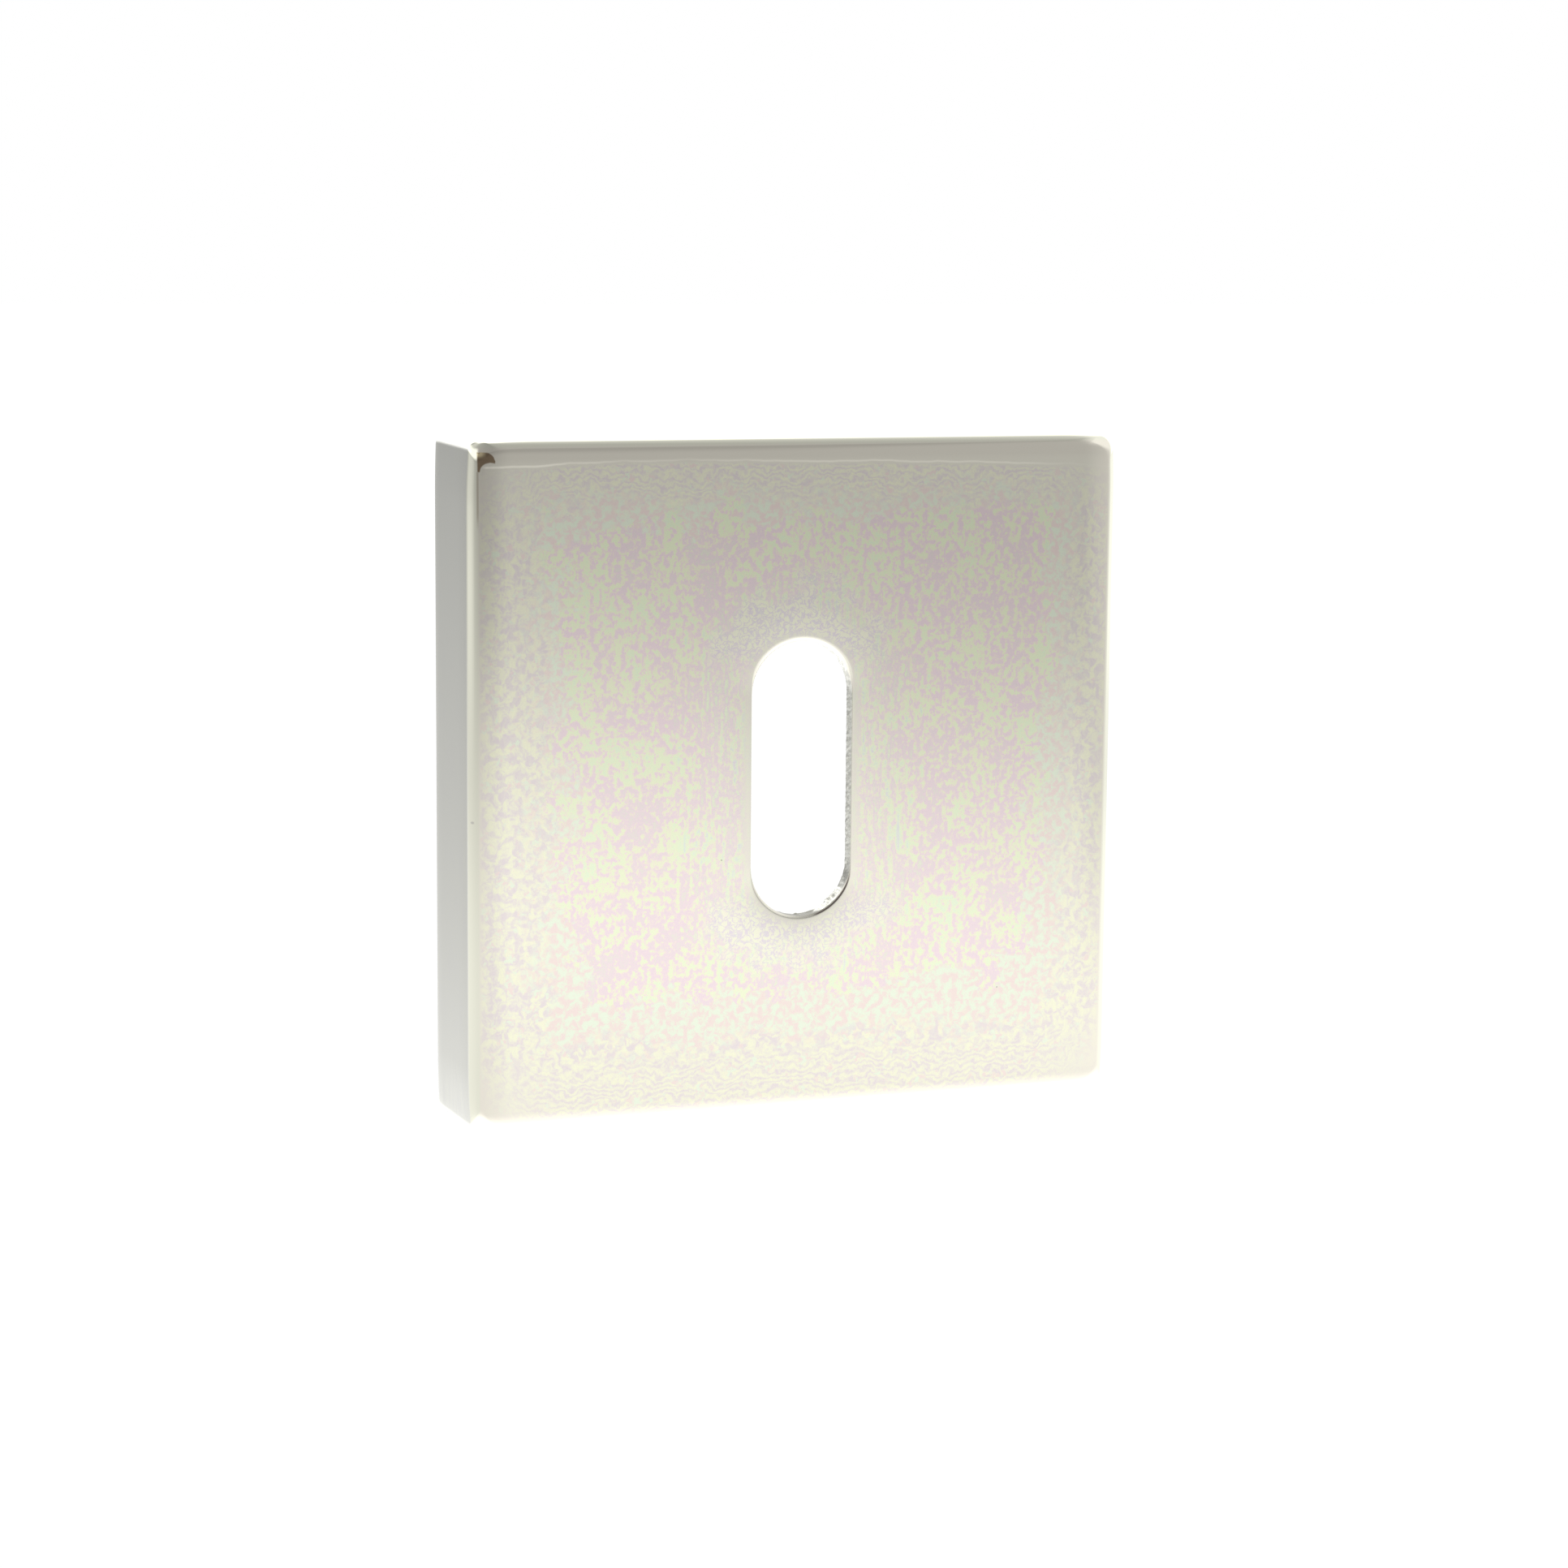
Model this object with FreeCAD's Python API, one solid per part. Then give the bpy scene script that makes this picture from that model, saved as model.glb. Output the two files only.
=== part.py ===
import FreeCAD, Part
import os
from FreeCAD import Vector

# Square keyhole escutcheon: a hollow plated brass cover pushed over a moulded fixing base.
# Millimetres. Origin at the middle of the door plane, +X right, front face towards -Y, +Z up.

# Cover
cover_width = 54.0
cover_height = 54.0
cover_depth = 10.0
plate_thickness = 1.2
wall_thickness = 1.2
edge_radius = 0.85
inner_radius = 0.4

# Key slot, punched through the front plate
slot_width = 8.4
slot_height = 22.0
lip_radius = 0.2

# Fits between the base and the cover
side_gap = 0.3
seat_gap = 0.2
rib_relief = 0.02

# Fixing base
deck_thickness = 2.0
base_wall = 1.6
base_corner_radius = 1.2
lead_in = 0.7
web_thickness = 1.4
rib_radius = 0.8
rib_spacing = 30.0

# Key opening through the base, wider than the slot on every side
key_room_side = 5.5
key_room_end = 4.5
ring_wall = 1.6

# Screws that hold the base to the door, inset from its outer sides
screw_inset = 6.5
screw_hole_diameter = 4.5
head_room_diameter = 9.0
seat_depth = 4.5
boss_wall = 1.5

# Sizes that follow from the values above
front = -cover_depth
plate_back = front + plate_thickness
inner_width = cover_width - 2 * wall_thickness
inner_height = cover_height - 2 * wall_thickness
base_front = plate_back + seat_gap
base_width = inner_width - 2 * side_gap
base_height = inner_height - 2 * side_gap
screw_spacing = base_width - 2 * screw_inset
core_front = base_front + deck_thickness
key_width = slot_width + 2 * key_room_side
key_height = slot_height + 2 * key_room_end
boss_diameter = head_room_diameter + 2 * boss_wall
over = 1.0


def block(width, height, y_from, y_to):
    """Box centred on the Y axis."""
    corner = Vector(-width / 2, y_from, -height / 2)
    return Part.makeBox(width, y_to - y_from, height, corner)


def rod(diameter, x, y_from, y_to):
    """Round bar along Y at height zero."""
    return Part.makeCylinder(diameter / 2, y_to - y_from, Vector(x, y_from, 0), Vector(0, 1, 0))


def obround(width, height, y_from, y_to):
    """Upright slot shape with half-round ends, run along Y."""
    r = width / 2
    z = height / 2 - r
    right = Part.LineSegment(Vector(r, y_from, -z), Vector(r, y_from, z))
    top = Part.Arc(Vector(r, y_from, z), Vector(0, y_from, z + r), Vector(-r, y_from, z))
    left = Part.LineSegment(Vector(-r, y_from, z), Vector(-r, y_from, -z))
    bottom = Part.Arc(Vector(-r, y_from, -z), Vector(0, y_from, -z - r), Vector(r, y_from, -z))
    outline = Part.Wire([side.toShape() for side in (right, top, left, bottom)])
    return Part.Face(outline).extrude(Vector(0, y_to - y_from, 0))


def corner_edges(shape, y_end=None):
    """Edges along Y and, where y_end is given, the edges that lie in that end face."""
    found = []
    for edge in shape.Edges:
        box = edge.BoundBox
        along = box.YLength > box.XLength + box.ZLength
        in_end = y_end is not None and box.YLength < 0.001 and abs(box.YMin - y_end) < 0.001
        if along or in_end:
            found.append(edge)
    return found


def rounded_block(width, height, y_from, y_to, radius, y_end=None):
    """Block with rounded upright corners and, if asked, one rounded end."""
    shape = block(width, height, y_from, y_to)
    return shape.makeFillet(radius, corner_edges(shape, y_end))


def cover():
    """Hollow square cover, open to the door, with the slot and its rounded lip."""
    shell = rounded_block(cover_width, cover_height, front, 0, edge_radius, front)
    hollow = rounded_block(inner_width, inner_height, plate_back, over, inner_radius, plate_back)
    shell = shell.cut(hollow)
    shell = shell.cut(obround(slot_width, slot_height, front - over, plate_back + over))
    lip = []
    for edge in shell.Edges:
        box = edge.BoundBox
        on_front = box.YLength < 0.001 and abs(box.YMin - front) < 0.001
        if on_front and box.XMax < slot_width and box.XMin > -slot_width:
            lip.append(edge)
    return shell.makeFillet(lip_radius, lip)


def web(length, angle):
    """Upright web from the middle of the base outwards, turned about the Y axis."""
    corner = Vector(0, base_front, -web_thickness / 2)
    shape = Part.makeBox(length, -base_front, web_thickness, corner)
    shape.rotate(Vector(0, 0, 0), Vector(0, 1, 0), angle)
    return shape


def base_core():
    """Space that the mould leaves open towards the door, between ring, bosses and webs."""
    width = base_width - 2 * base_wall
    height = base_height - 2 * base_wall
    core = rounded_block(width, height, core_front, over, base_corner_radius)
    reach = (width + height) / 2
    kept = [obround(key_width + 2 * ring_wall, key_height + 2 * ring_wall, base_front, over)]
    for side in (-1, 1):
        kept.append(rod(boss_diameter, side * screw_spacing / 2, base_front, over))
    for angle in range(0, 360, 45):
        kept.append(web(reach, angle))
    for piece in kept:
        core = core.cut(piece)
    return core


def screw_holes():
    """Clearance holes with a countersunk seat and room for the screw head in front."""
    seat_top = -seat_depth
    cone_depth = (head_room_diameter - screw_hole_diameter) / 2
    holes = []
    for side in (-1, 1):
        x = side * screw_spacing / 2
        shank = rod(screw_hole_diameter, x, base_front - over, over)
        room = rod(head_room_diameter, x, base_front - over, seat_top)
        cone = Part.makeCone(head_room_diameter / 2, screw_hole_diameter / 2, cone_depth,
                             Vector(x, seat_top, 0), Vector(0, 1, 0))
        holes.append(shank.fuse(room).fuse(cone))
    return holes


def grip_ribs():
    """Upright ribs round the base that grip the inside of the cover."""
    ribs = []
    for turn in range(4):
        across = inner_width if turn % 2 == 0 else inner_height
        centre = across / 2 - rib_relief - rib_radius
        for along in (-rib_spacing / 2, rib_spacing / 2):
            rib = Part.makeCylinder(rib_radius, -base_front - lead_in,
                                    Vector(centre, base_front + lead_in, along), Vector(0, 1, 0))
            rib.rotate(Vector(0, 0, 0), Vector(0, 1, 0), 90 * turn)
            ribs.append(rib)
    return ribs


def fixing_base():
    """Moulded base with a deck behind the front plate, cored out towards the door."""
    base = rounded_block(base_width, base_height, base_front, 0, base_corner_radius)
    rim = [edge for edge in base.Edges if edge.BoundBox.YMax < base_front + 0.001]
    base = base.makeChamfer(lead_in, rim)
    for rib in grip_ribs():
        base = base.fuse(rib)
    base = base.cut(base_core())
    base = base.cut(obround(key_width, key_height, base_front - over, over))
    for hole in screw_holes():
        base = base.cut(hole)
    return base.removeSplitter()


def main():
    os.makedirs("parts", exist_ok=True)
    nodes = {"cover": cover(), "fixing_base": fixing_base()}
    for name, shape in nodes.items():
        print(name, len(shape.Solids), shape.isValid(), round(shape.Volume, 2))
        shape.exportStep("parts/" + name + ".step")


main()
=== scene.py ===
import math

import bpy
import numpy as np
from mathutils import Matrix, Vector, noise


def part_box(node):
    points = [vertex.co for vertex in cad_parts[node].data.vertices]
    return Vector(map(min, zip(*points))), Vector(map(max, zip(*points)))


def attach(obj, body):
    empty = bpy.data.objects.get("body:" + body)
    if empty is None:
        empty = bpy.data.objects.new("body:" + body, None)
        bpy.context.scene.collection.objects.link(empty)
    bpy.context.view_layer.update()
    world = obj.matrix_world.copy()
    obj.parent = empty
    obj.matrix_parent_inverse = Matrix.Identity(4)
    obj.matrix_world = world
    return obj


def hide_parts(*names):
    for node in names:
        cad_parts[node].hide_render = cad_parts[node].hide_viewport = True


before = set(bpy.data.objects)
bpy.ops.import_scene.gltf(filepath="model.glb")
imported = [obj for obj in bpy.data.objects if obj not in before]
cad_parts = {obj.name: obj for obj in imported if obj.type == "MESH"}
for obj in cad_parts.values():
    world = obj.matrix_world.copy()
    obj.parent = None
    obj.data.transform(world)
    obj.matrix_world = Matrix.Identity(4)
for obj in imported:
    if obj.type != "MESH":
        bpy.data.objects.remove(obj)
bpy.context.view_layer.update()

# A square keyhole escutcheon in nickel plate, on the moulded base that holds it to the door.
# Sizes are in millimetres up to the moment a mesh is made, where MM turns them into metres.
MM = 0.001

# Cover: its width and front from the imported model, its other sizes as in the CAD, and a small
# rounding on its rim
COVER_LOW, COVER_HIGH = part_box("cover")
HALF = (COVER_HIGH.x - COVER_LOW.x) / 2 / MM
FRONT = COVER_LOW.y / MM
PLATE_THICKNESS = 1.2
PLATE_BACK = FRONT + PLATE_THICKNESS
WALL_THICKNESS = 1.2
EDGE_RADIUS = 0.85
INNER_RADIUS = 0.4
RIM_RADIUS = 0.25

# Slot, a little shorter and lower than in the CAD, as it is in the photograph
SLOT_WIDTH = 8.4
SLOT_HEIGHT = 21.86
SLOT_DROP = 0.07
SLOT_STRAIGHT = (SLOT_HEIGHT - SLOT_WIDTH) / 2

# Polishing has softened the cover: the face rolls off towards its sides and its corners draw in.
# Punching has dished the face round the slot and drawn its lip in, most at the slot's two ends.
ROLL_DEPTH = (0.147, 0.067)
ROLL_WIDTH = (2.4, 1.1)
DISH_SIDE = 0.02
DISH_TOP = 0.0135
DISH_BOTTOM = 0.034
DISH_START = 0.2
DISH_WIDTH = 3.0
LIP_SIDE = 0.08
LIP_TOP = 0.36
LIP_TOP_RIGHT = 0.40
LIP_BOTTOM = 0.25
LIP_TURN = 40.0
CORNER_DRAW = 0.22
CORNER_REACH = 5.0
CORNER_END = 1.1
CORNER_END_DRAW = 0.03
CORNER_SPREAD = 1.0
SIDE_ROLL_DEPTH = 0.03
SIDE_ROLL_WIDTH = 2.2
BACK_ROLL_DEPTH = 0.03
BACK_ROLL_WIDTH = 1.2

# Rings of points that make up the cover's mesh; FACE_MARGIN inwards those of the face turn square
SIDE_STEPS = 104
CORNER_STEPS = 16
RING_POINTS = 4 * (SIDE_STEPS + CORNER_STEPS)
FACE_MARGIN = 5.0
LIP_RINGS = 9
FACE_RINGS = 42
FACE_CROWDING = 1.25
MARGIN_RINGS = 18
EDGE_RINGS = 13
SIDE_RINGS = 22
RIM_RINGS = 5
INSIDE_RINGS = 7
INNER_CORNER_RINGS = 6
BACK_RINGS = 10
BACK_SPREADS = (0.3, 0.12)
WALL_SHARES = (0, 0.1, 0.2, 0.3, 0.4, 0.5, 0.6, 0.7, 0.8, 0.9, 0.99)

# Torn wall of the slot: the place of its burr, its colours from furrow to ridge, and the painted
# shade on the parts that face upwards, low in the slot
BURR = (2.9, -9.8)
TORN_FURROW = (0.72, 0.72, 0.655)
TORN_RIDGE = (1.0, 1.0, 0.93)
TORN_PAINTED_SHADE = (0.30, 0.30, 0.27)
TORN_LOWEST_PAINTED_SHADE = (0.26, 0.255, 0.215)

# Nickel's own colour on the face, on its polished margin, on its rounded edge and on its sides
NICKEL = (0.93, 0.905, 0.785)
NICKEL_MARGIN = (0.945, 0.90, 0.79)
NICKEL_EDGE = (0.92, 0.915, 0.78)
NICKEL_SIDE = (0.90, 0.90, 0.83)
SIDE_STREAK = (0.78, 0.76, 0.80)
INSIDE_DULL = (0.72, 0.68, 0.56)
INSIDE_CLEAR = (0.80, 0.77, 0.68)

# Roughness of the face, and what the satin sides and the lip add to it
ROUGH_FACE = 0.05
ROUGH_SIDE = 0.12
ROUGH_LIP = 0.22

# Thick film of tarnish on the middle of the face. Its optical path is in nanometres: FILM_STEP is
# the swing to a green or a magenta patch. The waves and their blur are for red, green and blue.
FILM_PATH_MIDDLE = 1475.0
FILM_PATH_EDGE = 1400.0
FILM_PATH_MOST = 2000.0
FILM_STEP = 138.0
FILM_STRENGTH = 0.13
FILM_PHASE = 3.37
FILM_WAVES = (605.0, 536.0, 456.0)
FILM_BLUR = (0.40, 0.06, 0.21)
FILM_STOPS = 32
PATH_FINE = 160.0
PATH_DRIFT = 420.0
PATH_STREAKS = 1400.0

# Noise levels between which a pattern turns from one colour to the other
PATTERN_TURN = (0.40, 0.60)

# Where each kind of film fades out, as distances from the cover's sides or from the slot, how
# ragged those borders are, and the fringes near the upper and lower edge
FILM_CORNER = 6.5
EDGE_ZONE = (3.2, 6.2)
TEAL_ZONE = (6.0, 7.0)
FRINGE_ZONE = (4.0, 6.5)
SLOT_ZONE = (2.4, 5.4)
STREAK_ZONE = (1.5, 10.0)
EDGE_RAGGED = 11.0
TEAL_RAGGED = 16.0
FRINGE_PITCH = 0.55
FRINGE_WANDER = 3.6

# How much further in the thinner film reaches, as (full from here, none from here, distance)
FURTHER_LOW = (-23.0, -11.0, 1.7)
FURTHER_LEFT = (-21.0, -12.0, 0.9)
TEAL_FURTHER_LOW = (-19.0, -3.0, 2.8)

# Thinner film, as colours over its pattern: violet to pale yellow near the cover's edges, pink to
# teal inside that, and violet lines on yellow at the slot's ends
EDGE_CURLS = ((0.0, (0.875, 0.795, 0.80)), (0.5, (0.94, 0.91, 0.785)), (1.0, (0.995, 0.995, 0.76)))
TEAL_CURLS = ((0.0, (0.97, 0.825, 0.775)), (0.5, (0.94, 0.91, 0.785)), (1.0, (0.905, 0.985, 0.81)))
SLOT_CURLS = ((0.0, (0.85, 0.775, 0.85)), (0.5, (0.975, 0.955, 0.80)), (1.0, (1.0, 1.0, 0.80)))

# Wavy line where the film ends below the upper margin, and the step up to the polished metal above
TIDE_HEIGHT = 24.7
TIDE_BOW = -0.0008
TIDE_STEP = 0.0036

# Painted reflection of a dark brown thing in the upper left corner of the face, with a painted tan
# highlight: its left and lower end, the bend and reach of its outer side, and the hollow it runs
# round
PAINTED_REFLECTION_START = (-26.28, 24.45)
PAINTED_REFLECTION_BEND = (-25.72, 25.12)
PAINTED_REFLECTION_REACH = 0.8
PAINTED_REFLECTION_HOLLOW = (-25.3, 24.3)
PAINTED_REFLECTION_HOLLOW_RADIUS = 0.84
PAINTED_REFLECTION_DARK = (0.36, 0.28, 0.21)
PAINTED_HIGHLIGHT_TAN = (0.95, 0.85, 0.62)
PAINTED_REFLECTION_LINE_FOOT = (19.8, 21.5)

# Dark tarnish in the lip at the slot's lower right
GRIME = (0.30, 0.245, 0.22)

# Small marks on the face: place, radius and colour
MARKS = (
    ((-6.65, -6.17), 0.09, (0.45, 0.43, 0.38)),
    ((17.06, -17.78), 0.09, (0.50, 0.48, 0.42)),
    ((23.16, 13.56), 0.10, (1.0, 1.0, 0.97)),
    ((-26.70, -2.32), 0.14, (0.62, 0.60, 0.56)),
)

# Fixing base: the rounding that the mould leaves on its edges, and its nylon
BASE_SOFTENING = 0.12
NYLON = (0.86, 0.85, 0.80)
NYLON_FLOW = (0.80, 0.785, 0.73)

# Camera: it stands to the left of the cover and a little above it
LENS = 86.18
SENSOR = 36.0
CAMERA_TURN = 20.64
CAMERA_DROP = 8.42
CAMERA_ROLL = -0.49
CAMERA_DISTANCE = 304.4
AIM = (1.91, -1.0, -1.79)


def camera():
    """Camera at the photograph's angle, aimed a little right of the middle of the cover."""
    turn, drop, roll = (math.radians(a) for a in (CAMERA_TURN, CAMERA_DROP, CAMERA_ROLL))
    forward = Vector((math.sin(turn) * math.cos(drop),
                      math.cos(turn) * math.cos(drop), -math.sin(drop)))
    level = Vector((math.cos(turn), -math.sin(turn), 0.0))
    up = level.cross(forward)
    across = level * math.cos(roll) - up * math.sin(roll)
    upright = level * math.sin(roll) + up * math.cos(roll)
    place = (Vector(AIM) - forward * CAMERA_DISTANCE) * MM
    data = bpy.data.cameras.new("camera")
    data.lens = LENS
    data.sensor_width = SENSOR
    data.clip_start = 0.01
    data.clip_end = 20.0
    seat = bpy.data.objects.new("camera", data)
    seat.matrix_world = Matrix((across, upright, -forward)).transposed().to_4x4()
    seat.location = place
    bpy.context.scene.collection.objects.link(seat)
    bpy.context.scene.camera = seat


class Graph:
    """Short calls for laying out one tree of shader nodes."""

    def __init__(self, tree):
        self.tree = tree
        tree.nodes.clear()

    def add(self, kind, inputs=None, **settings):
        node = self.tree.nodes.new("ShaderNode" + kind)
        for name, value in settings.items():
            setattr(node, name, value)
        for key, value in (inputs or {}).items():
            if isinstance(value, bpy.types.NodeSocket):
                self.tree.links.new(value, node.inputs[key])
            else:
                node.inputs[key].default_value = value
        return node

    def math(self, operation, *values):
        return self.add("Math", dict(enumerate(values)), operation=operation).outputs[0]

    def vector(self, operation, *values):
        return self.add("VectorMath", dict(enumerate(values)), operation=operation).outputs[0]

    def absolute(self, value):
        return self.math("ABSOLUTE", value)

    def total(self, first, *others):
        for other in others:
            first = self.math("ADD", first, other)
        return first

    def product(self, first, *others):
        for other in others:
            first = self.math("MULTIPLY", first, other)
        return first

    def split(self, vector):
        return self.add("SeparateXYZ", {0: vector}).outputs

    def join(self, x, y, z):
        return self.add("CombineXYZ", {0: x, 1: y, 2: z}).outputs[0]

    def place(self):
        """Place on the object in millimetres."""
        metres = self.add("TexCoord").outputs["Object"]
        return self.vector("MULTIPLY", metres, (1 / MM, 1 / MM, 1 / MM))

    def normal(self):
        return self.add("TexCoord").outputs["Normal"]

    def ease(self, value, low, high, start=0.0, end=1.0):
        """Smooth step from start to end as value goes from low to high."""
        inputs = {"Value": value, "From Min": low, "From Max": high, "To Min": start, "To Max": end}
        return self.add("MapRange", inputs, interpolation_type="SMOOTHSTEP").outputs[0]

    def noise(self, place, scale, detail=2.0, rough=0.5, **inputs):
        """Noise between 0 and 1, with about as many waves to a millimetre as its scale."""
        settings = {"Vector": place, "Scale": scale, "Detail": detail, "Roughness": rough}
        settings.update(inputs)
        return self.add("TexNoise", settings).outputs[0]

    def swing(self, value, width):
        """Noise value turned into a swing of this width about zero."""
        return self.math("MULTIPLY_ADD", value, width, -width / 2)

    def blend(self, share, first, second):
        """Value that runs from the first to the second."""
        return self.add("Mix", {0: share, 2: first, 3: second}, data_type="FLOAT").outputs[0]

    def mix(self, share, first, second, blend="MIX"):
        """Colour that runs from the first to the second, or is multiplied by the second."""
        node = self.add("Mix", data_type="RGBA", blend_type=blend)
        for key, value in ((0, share), (6, first), (7, second)):
            if isinstance(value, bpy.types.NodeSocket):
                self.tree.links.new(value, node.inputs[key])
            else:
                node.inputs[key].default_value = value if key == 0 else (*value, 1.0)
        return node.outputs[2]

    def ramp(self, value, stops):
        """Colour ramp with stops given as (place, colour)."""
        node = self.add("ValToRGB", {0: value})
        marks = node.color_ramp.elements
        while len(marks) < len(stops):
            marks.new(0.5)
        for mark, (place, colour) in zip(marks, stops):
            mark.position = place
            mark.color = (*colour, 1.0)
        return node.outputs[0]

    def level(self, value, stops):
        """Colour ramp read as one value, with stops given as (place, level)."""
        return self.ramp(value, [(place, (level, level, level)) for place, level in stops])

    def bump(self, height, strength, depth, **inputs):
        """Normal tilted by a height, with its depth in millimetres."""
        settings = {"Height": height, "Strength": strength, "Distance": depth * MM}
        settings.update(inputs)
        return self.add("Bump", settings).outputs[0]

    def shades(self, share, first, second):
        """Shader that runs from the first to the second."""
        return self.add("MixShader", {0: share, 1: first.outputs[0], 2: second.outputs[0]})


def new_material(name):
    """Material with an empty tree, and the graph that fills it."""
    material = bpy.data.materials.new(name)
    material.use_nodes = True
    return material, Graph(material.node_tree)


def metal(g, colour, rough, normal):
    """Metal surface as the material's output."""
    shader = g.add("BsdfPrincipled", {"Base Color": colour, "Roughness": rough, "Metallic": 1.0,
                                      "Normal": normal})
    g.add("OutputMaterial", {0: shader.outputs[0]})


def cloudy_grain():
    """Effect that the inside of the cover and the base share: soft clouds and a fine grain."""
    tree = bpy.data.node_groups.new("cloudy_grain", "ShaderNodeTree")
    tree.interface.new_socket("Place", in_out="INPUT", socket_type="NodeSocketVector")
    for name in ("Cloud Scale", "Cloud Detail", "Cloud Roughness", "Cloud Bend", "Grain Scale",
                 "Grain Detail"):
        tree.interface.new_socket(name, in_out="INPUT", socket_type="NodeSocketFloat")
    for name in ("Clouds", "Grain"):
        tree.interface.new_socket(name, in_out="OUTPUT", socket_type="NodeSocketFloat")
    g = Graph(tree)
    given = tree.nodes.new("NodeGroupInput").outputs
    clouds = g.noise(given["Place"], given["Cloud Scale"], given["Cloud Detail"],
                     given["Cloud Roughness"], Distortion=given["Cloud Bend"])
    grain = g.noise(given["Place"], given["Grain Scale"], given["Grain Detail"], 0.6)
    results = tree.nodes.new("NodeGroupOutput").inputs
    tree.links.new(clouds, results["Clouds"])
    tree.links.new(grain, results["Grain"])
    return tree


def square_loop(half, corner):
    """Points round a rounded square, anticlockwise from the lower end of its right side."""
    straight = half - corner
    along = straight * np.linspace(-1, 1, SIDE_STEPS, endpoint=False)
    side = np.stack([np.full(SIDE_STEPS, half), along], 1)
    angle = np.linspace(0, math.pi / 2, CORNER_STEPS, endpoint=False)
    bend = straight + corner * np.stack([np.cos(angle), np.sin(angle)], 1)
    quarter = np.concatenate([side, bend])
    turns = [quarter, quarter[:, ::-1] * (-1, 1), -quarter, quarter[:, ::-1] * (1, -1)]
    return np.concatenate(turns)


def slot_loop(spread):
    """Points round the key slot, widened by spread, in step with those round the square."""
    radius = SLOT_WIDTH / 2 + spread
    straight = 2 * SLOT_STRAIGHT
    length = 2 * straight + 2 * math.pi * radius
    start = straight - length / 4 + length * CORNER_STEPS / 2 / RING_POINTS
    run = (start + length * np.arange(RING_POINTS) / RING_POINTS) % length
    points = np.zeros((RING_POINTS, 2))
    half_way = straight + math.pi * radius
    for side, offset in ((1, 0.0), (-1, half_way)):
        here = (run >= offset) & (run < offset + half_way)
        s = run[here] - offset
        angle = np.maximum(s - straight, 0) / radius
        x = radius * np.cos(angle)
        z = np.minimum(s, straight) - straight / 2 + radius * np.sin(angle)
        points[here] = side * np.stack([x, z], 1)
    return points - (0, SLOT_DROP)


def from_slot(slot):
    """Direction from the slot's middle line to each point of its outline, square to the outline."""
    spine = np.clip(slot, (0, -SLOT_STRAIGHT - SLOT_DROP), (0, SLOT_STRAIGHT - SLOT_DROP))
    return (slot - spine) / (SLOT_WIDTH / 2)


def by_end(upwards, side, top, bottom):
    """Value that runs from the slot's sides into its two ends."""
    up = np.clip(upwards / 0.6, 0, 1)
    down = np.clip(-upwards / 0.6, 0, 1)
    rise = (top - side) * up * up * (3 - 2 * up)
    return side + rise + (bottom - side) * down * down * (3 - 2 * down)


def lip_width(outwards):
    """Width of the lip: the punch has drawn it in more at the slot's ends than at its sides."""
    x, z = outwards[:, 0], outwards[:, 1]
    right = np.exp(-((x - 0.75) ** 2 + (z - 0.66) ** 2) / 0.12)
    return by_end(z, LIP_SIDE, LIP_TOP, LIP_BOTTOM) + (LIP_TOP_RIGHT - LIP_TOP) * right


def corner_of(inset):
    """Corner radius of the ring that lies inset from the cover's sides."""
    return EDGE_RADIUS + CORNER_SPREAD * inset


def roll(points):
    """How far the face lies back from its middle, near the sides and round the slot."""
    x, z = np.abs(points[:, 0]), np.abs(points[:, 1])
    depth = np.zeros(len(points))
    for across, most, width in zip((x, z), ROLL_DEPTH, ROLL_WIDTH):
        near = np.maximum(0, 1 - (HALF - across - EDGE_RADIUS) / width)
        depth += most * near ** 2
    past_end = np.maximum(np.abs(points[:, 1] + SLOT_DROP) - SLOT_STRAIGHT, 0)
    reach = np.hypot(x, past_end)
    upwards = past_end * np.sign(points[:, 1]) / np.maximum(reach, 0.01)
    dish = by_end(upwards, DISH_SIDE, DISH_TOP, DISH_BOTTOM)
    outwards = reach - SLOT_WIDTH / 2 - DISH_START
    depth += dish * np.clip(1 - outwards / DISH_WIDTH, 0, 1) ** 2
    return depth


def draw_in(points, share=1.0):
    """Pulls the outline in towards its corners, as polishing does."""
    near = np.maximum(0, 1 - (HALF - np.abs(points)) / CORNER_REACH) ** 2
    end = np.maximum(0, 1 - (HALF - np.abs(points)) / CORNER_END) ** 2
    moves = CORNER_DRAW * near + CORNER_END_DRAW * end
    return points * (1 - share / HALF * moves[:, ::-1])


def ring(points, y):
    """Ring of points at depth y, which is one number or one for each point."""
    depth = np.broadcast_to(np.asarray(y, float), (len(points),))
    return np.stack([points[:, 0], depth, points[:, 1]], 1)


def tears(points, depth):
    """How far the torn wall stands into the slot: slanting furrows, calm towards the top, and a
    burr at the lower right and at the lowest point."""
    moves = np.zeros(len(points))
    for i, ((x, z), y) in enumerate(zip(points, depth)):
        grain = noise.noise(Vector((x * 1.2, y * 1.5, (z + 0.3 * y) * 3.2)))
        chips = noise.noise(Vector((x * 3.0, y * 2.0 + 7.0, z * 5.0)))
        burr = math.exp(-((x - BURR[0]) ** 2 + (z - BURR[1]) ** 2) / 0.8)
        burr += math.exp(-(x - 0.05) ** 2 / 0.05) * (z < -10)
        calm = min(1.0, max(0.03, (8.5 - z) / 3))
        moves[i] = calm * (0.04 * grain + 0.025 * chips) + burr * (0.06 + 0.16 * chips)
    return moves


def lip_rings(slot, outwards):
    """From the slot's edge out over the lip, with the outline that they end on."""
    turn = math.radians(LIP_TURN)
    width = lip_width(outwards)
    radius = width / math.sin(turn)
    lip = slot + outwards * width[:, None]
    rings = []
    for angle in np.linspace(turn, 0, LIP_RINGS):
        points = lip - outwards * (radius * math.sin(angle))[:, None]
        rings.append(ring(points, FRONT + radius * (1 - math.cos(angle)) + roll(lip)))
    return lip, rings


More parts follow.
